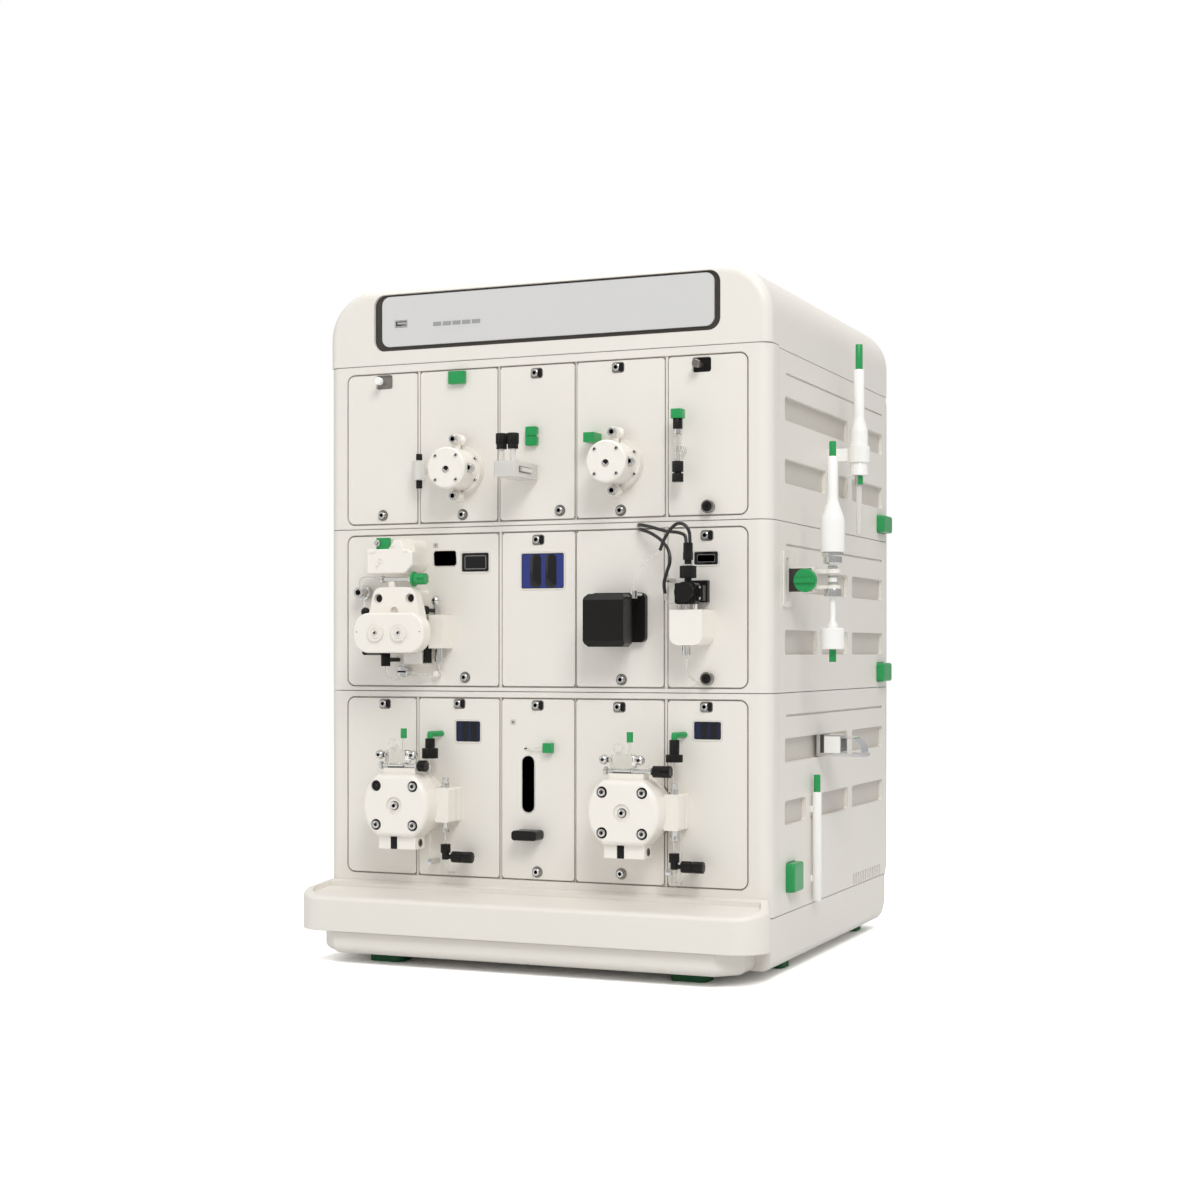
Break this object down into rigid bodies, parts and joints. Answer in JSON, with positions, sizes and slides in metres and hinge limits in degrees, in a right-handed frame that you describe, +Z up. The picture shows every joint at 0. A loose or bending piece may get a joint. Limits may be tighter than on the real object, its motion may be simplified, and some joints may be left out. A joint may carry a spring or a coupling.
{
  "type": "fast protein liquid chromatography system",
  "caption": "Bench liquid chromatography instrument with stacked pump, valve and detector modules, a drip tray and side columns",
  "frame": {"origin": "under the middle of the whole object, on the bench that its feet stand on", "axes": "+X to the right as seen from the front, +Y to the rear, +Z up"},
  "size_m": [0.4988, 0.459, 0.6295],
  "materials": {
    "cream": "satin",
    "warm_white": "satin",
    "silver": "brushed",
    "dark": "satin",
    "light_lens": "gloss",
    "steel": "machined",
    "black_plastic": "satin",
    "green_plastic": "satin",
    "rubber_foot": "matt",
    "window": "gloss",
    "clear": "clear",
    "column": "satin",
    "rear_paint": "powder coat",
    "black_lead": "satin"
  },
  "bodies": {
    "instrument": {"base_pan": "cream", "black_fittings": "black_plastic", "cell_block": "warm_white", "clear_tubes": "clear", "column_one": "column", "column_three": "column", "data_ports": "steel", "detector_box": "black_plastic", "display_strip": "silver", "display_surround": "dark", "drip_tray": "warm_white", "fan_guard": "steel", "feet": "rubber_foot", "flow_cell": "black_plastic", "glass_cell": "clear", "green_plugs": "green_plastic", "handle_bar": "black_plastic", "head_cover": "cream", "hook_bracket": "steel", "inline_cell": "clear", "lower_bezel": "cream", "lower_housing": "cream", "lower_modules": "warm_white", "middle_bezel": "cream", "middle_housing": "cream", "middle_modules": "warm_white", "mixer_housing": "warm_white", "nut_arm": "clear", "panel_windows": "window", "power_inlet": "black_plastic", "pump_head_a": "warm_white", "pump_head_b": "warm_white", "pump_manifolds": "clear", "pump_motors": "steel", "pump_side_blocks": "warm_white", "rear_panel": "rear_paint", "sample_pump_arch": "warm_white", "sample_pump_head": "warm_white", "signal_leads": "black_lead", "socket_screws": "steel", "status_lights": "light_lens", "steel_fittings": "steel", "upper_bezel": "cream", "upper_housing": "cream", "upper_modules": "warm_white", "usb_port": "steel", "valve_heads": "warm_white", "valve_rings": "warm_white"},
    "power_switch": {"power_switch": "black_plastic"},
    "fan_rotor": {"fan_rotor": "black_plastic"},
    "upper_latch": {"upper_latch": "green_plastic"},
    "middle_latch": {"middle_latch": "green_plastic"},
    "lower_latch": {"lower_latch": "green_plastic"},
    "rocker_clip": {"rocker_clip": "green_plastic"},
    "sample_purge_knob": {"sample_purge_knob": "green_plastic"},
    "purge_knob_a": {"purge_knob_a": "black_plastic"},
    "purge_knob_b": {"purge_knob_b": "black_plastic"},
    "clamp": {"column_clamp": "warm_white", "column_two": "column"},
    "clamp_knob": {"clamp_knob": "green_plastic"}
  },
  "joints": [
    {"name": "rear_switch_tip", "type": "hinge", "parent": "instrument", "child": "power_switch", "pos_m": [-0.1214, 0.2245, 0.096], "axis": [0, 0, 1], "range_deg": [0, 12]},
    {"name": "fan_spin", "type": "hinge", "parent": "instrument", "child": "fan_rotor", "pos_m": [0.0886, 0.216, 0.156], "axis": [0, 1, 0], "continuous": true},
    {"name": "upper_latch_press", "type": "slide", "parent": "instrument", "child": "upper_latch", "axis": [-1, 0, 0], "range_m": [0, 0.0025], "stiffness_N_per_m": 600, "springref_m": -0.001},
    {"name": "middle_latch_press", "type": "slide", "parent": "instrument", "child": "middle_latch", "axis": [-1, 0, 0], "range_m": [0, 0.0025], "stiffness_N_per_m": 600, "springref_m": -0.001},
    {"name": "lower_latch_press", "type": "slide", "parent": "instrument", "child": "lower_latch", "axis": [-1, 0, 0], "range_m": [0, 0.0025], "stiffness_N_per_m": 600, "springref_m": -0.001},
    {"name": "rocker_tip", "type": "hinge", "parent": "instrument", "child": "rocker_clip", "pos_m": [-0.0278, -0.1766, 0.4846], "axis": [1, 0, 0], "range_deg": [-2.5, 2.5]},
    {"name": "sample_purge_turn", "type": "hinge", "parent": "instrument", "child": "sample_purge_knob", "pos_m": [-0.1264, -0.207, 0.355], "axis": [1, 0, 0], "range_deg": [0, 270]},
    {"name": "purge_a_turn", "type": "hinge", "parent": "instrument", "child": "purge_knob_a", "pos_m": [-0.1234, -0.207, 0.1838], "axis": [1, 0, 0], "range_deg": [0, 270]},
    {"name": "purge_b_turn", "type": "hinge", "parent": "instrument", "child": "purge_knob_b", "pos_m": [0.1106, -0.207, 0.1838], "axis": [1, 0, 0], "range_deg": [0, 270]},
    {"name": "clamp_slide", "type": "slide", "parent": "instrument", "child": "clamp", "axis": [0, 0, 1], "range_m": [-0.008, 0.008]},
    {"name": "clamp_knob_turn", "type": "hinge", "parent": "clamp", "child": "clamp_knob", "pos_m": [0.2176, -0.132, 0.3513], "axis": [0, 1, 0], "range_deg": [0, 90]}
  ]
}
